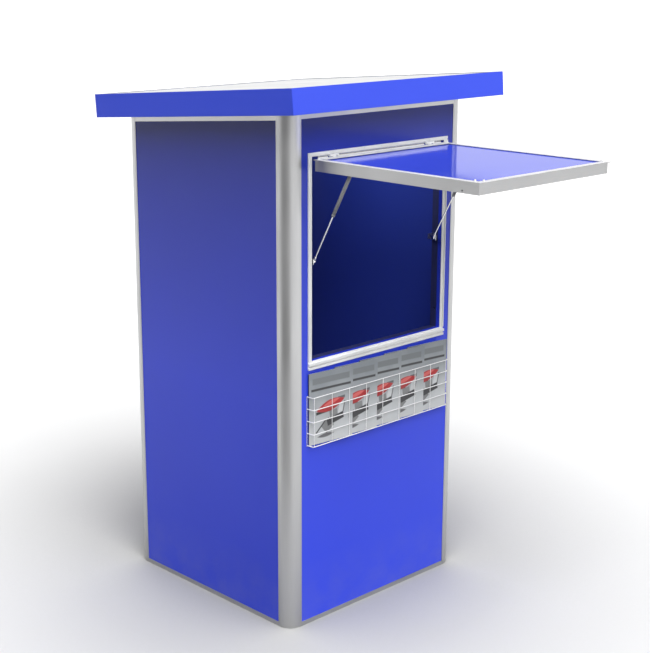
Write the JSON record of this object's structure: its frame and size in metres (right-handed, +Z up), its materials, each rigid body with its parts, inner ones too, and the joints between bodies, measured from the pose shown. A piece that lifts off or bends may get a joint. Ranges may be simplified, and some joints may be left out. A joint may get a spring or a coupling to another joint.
{
  "type": "newspaper kiosk booth",
  "caption": "Walk-in newspaper kiosk: square booth with rounded corner posts, tilted overhanging roof, raised serving flap on gas struts, wire magazine rack and staff door",
  "frame": {"origin": "on the floor, at the centre of the square plan over the corner posts", "axes": "+Z up, -Y towards the customer at the serving window, +X to the right as seen from the street, staff door on +Y"},
  "size_m": [1.258, 2.0033, 2.3129],
  "materials": {
    "anodised_aluminium": "satin anodised extrusion",
    "blue_panel": "gloss blue faced sandwich panel",
    "white_frame": "white powder coat",
    "dark_timber": "dark painted hardwood",
    "steel": "zinc plated",
    "chrome_wire": "bright plated wire",
    "magazine_paper": null,
    "blue_fascia": "gloss blue folded sheet",
    "roof_white": "white roof sheet",
    "rafter_aluminium": "mill finish",
    "ceiling_white": "white faced board",
    "floor_board": "sealed board",
    "strut_grey": "grey strut cylinder",
    "chrome_rod": "polished rod",
    "brass_lock": "nickelled brass",
    "pull_metal": "satin aluminium"
  },
  "bodies": {
    "booth": {"front_left_post": "anodised_aluminium", "front_right_post": "anodised_aluminium", "rear_left_post": "anodised_aluminium", "rear_right_post": "anodised_aluminium", "front_bottom_rail": "anodised_aluminium", "left_bottom_rail": "anodised_aluminium", "right_bottom_rail": "anodised_aluminium", "door_threshold": "anodised_aluminium", "front_top_rail": "anodised_aluminium", "left_top_rail": "anodised_aluminium", "right_top_rail": "anodised_aluminium", "rear_top_rail": "anodised_aluminium", "floor_panel": "floor_board", "left_wall_panel": "blue_panel", "right_wall_panel": "blue_panel", "front_wall_panel": "blue_panel", "rear_transom_panel": "blue_panel", "window_left_jamb": "white_frame", "window_right_jamb": "white_frame", "window_head": "white_frame", "window_sill": "white_frame", "window_subframe": "dark_timber", "flap_hinge_wall_leaf": "white_frame", "flap_hinge_pins": "steel", "strut_wall_brackets": "steel", "rack_bars": "chrome_wire", "rack_uprights": "chrome_wire", "magazines": "magazine_paper", "roof_front_fascia": "blue_fascia", "roof_rear_fascia": "blue_fascia", "roof_left_fascia": "blue_fascia", "roof_right_fascia": "blue_fascia", "roof_sheet": "roof_white", "roof_rafters": "rafter_aluminium", "ceiling_panel": "ceiling_white", "door_frame_jambs": "anodised_aluminium", "door_frame_head": "anodised_aluminium", "door_hinge_frame_leaves": "steel", "door_hinge_pins": "steel"},
    "flap": {"flap_left_rail": "anodised_aluminium", "flap_right_rail": "anodised_aluminium", "flap_outer_rail": "anodised_aluminium", "flap_hinge_rail": "anodised_aluminium", "flap_panel": "blue_panel", "flap_hinge_flap_leaf": "white_frame", "strut_flap_brackets": "steel", "flap_bolt_housings": "steel"},
    "flap_bolt_left": {"flap_left_bolt": "steel"},
    "flap_bolt_right": {"flap_right_bolt": "steel"},
    "strut_cylinder_left": {"left_strut_cylinder": "strut_grey"},
    "strut_rod_left": {"left_strut_rod": "chrome_rod"},
    "strut_cylinder_right": {"right_strut_cylinder": "strut_grey"},
    "strut_rod_right": {"right_strut_rod": "chrome_rod"},
    "door": {"door_panel": "blue_panel", "door_leaf_frame": "anodised_aluminium", "door_hinge_leaf_leaves": "steel", "door_pull_handles": "pull_metal", "door_lock_cylinder": "brass_lock"},
    "thumb_turn": {"door_thumb_turn": "pull_metal"},
    "deadbolt": {"door_deadbolt": "steel"}
  },
  "joints": [
    {"name": "flap_hinge", "type": "hinge", "parent": "booth", "child": "flap", "pos_m": [0, -0.542, 2.021], "axis": [1, 0, 0], "range_deg": [0, 90]},
    {"name": "flap_bolt_left_slide", "type": "slide", "parent": "flap", "child": "flap_bolt_left", "axis": [-1, 0, 0], "range_m": [0, 0.022]},
    {"name": "flap_bolt_right_slide", "type": "slide", "parent": "flap", "child": "flap_bolt_right", "axis": [1, 0, 0], "range_m": [0, 0.022]},
    {"name": "strut_left_pivot", "type": "hinge", "parent": "flap", "child": "strut_cylinder_left", "pos_m": [-0.368, -0.72, 1.978], "axis": [1, 0, 0], "range_deg": [-120.6, 0]},
    {"name": "strut_left_stroke", "type": "slide", "parent": "strut_cylinder_left", "child": "strut_rod_left", "axis": [0, -0.4812, 0.8766], "range_m": [0, 0.1895]},
    {"name": "strut_right_pivot", "type": "hinge", "parent": "flap", "child": "strut_cylinder_right", "pos_m": [0.368, -0.72, 1.978], "axis": [1, 0, 0], "range_deg": [-120.6, 0]},
    {"name": "strut_right_stroke", "type": "slide", "parent": "strut_cylinder_right", "child": "strut_rod_right", "axis": [0, -0.4812, 0.8766], "range_m": [0, 0.1895]},
    {"name": "door_hinge", "type": "hinge", "parent": "booth", "child": "door", "pos_m": [-0.4095, 0.536, 1], "axis": [0, 0, 1], "range_deg": [0, 110]},
    {"name": "door_thumb_turn_turn", "type": "hinge", "parent": "door", "child": "thumb_turn", "pos_m": [0.375, 0.489, 0.96], "axis": [0, -1, 0], "range_deg": [0, 90]},
    {"name": "door_deadbolt_throw", "type": "slide", "parent": "door", "child": "deadbolt", "axis": [1, 0, 0], "range_m": [0, 0.016]}
  ],
  "couplings": [
    {"joint": "strut_left_pivot", "follows": "flap_hinge", "ratio": -1.3397},
    {"joint": "strut_left_stroke", "follows": "flap_hinge", "m_per_rad": 0.12063},
    {"joint": "strut_right_pivot", "follows": "flap_hinge", "ratio": -1.3397},
    {"joint": "strut_right_stroke", "follows": "flap_hinge", "m_per_rad": 0.12063},
    {"joint": "door_thumb_turn_turn", "follows": "door_deadbolt_throw", "rad_per_m": 98.17}
  ]
}
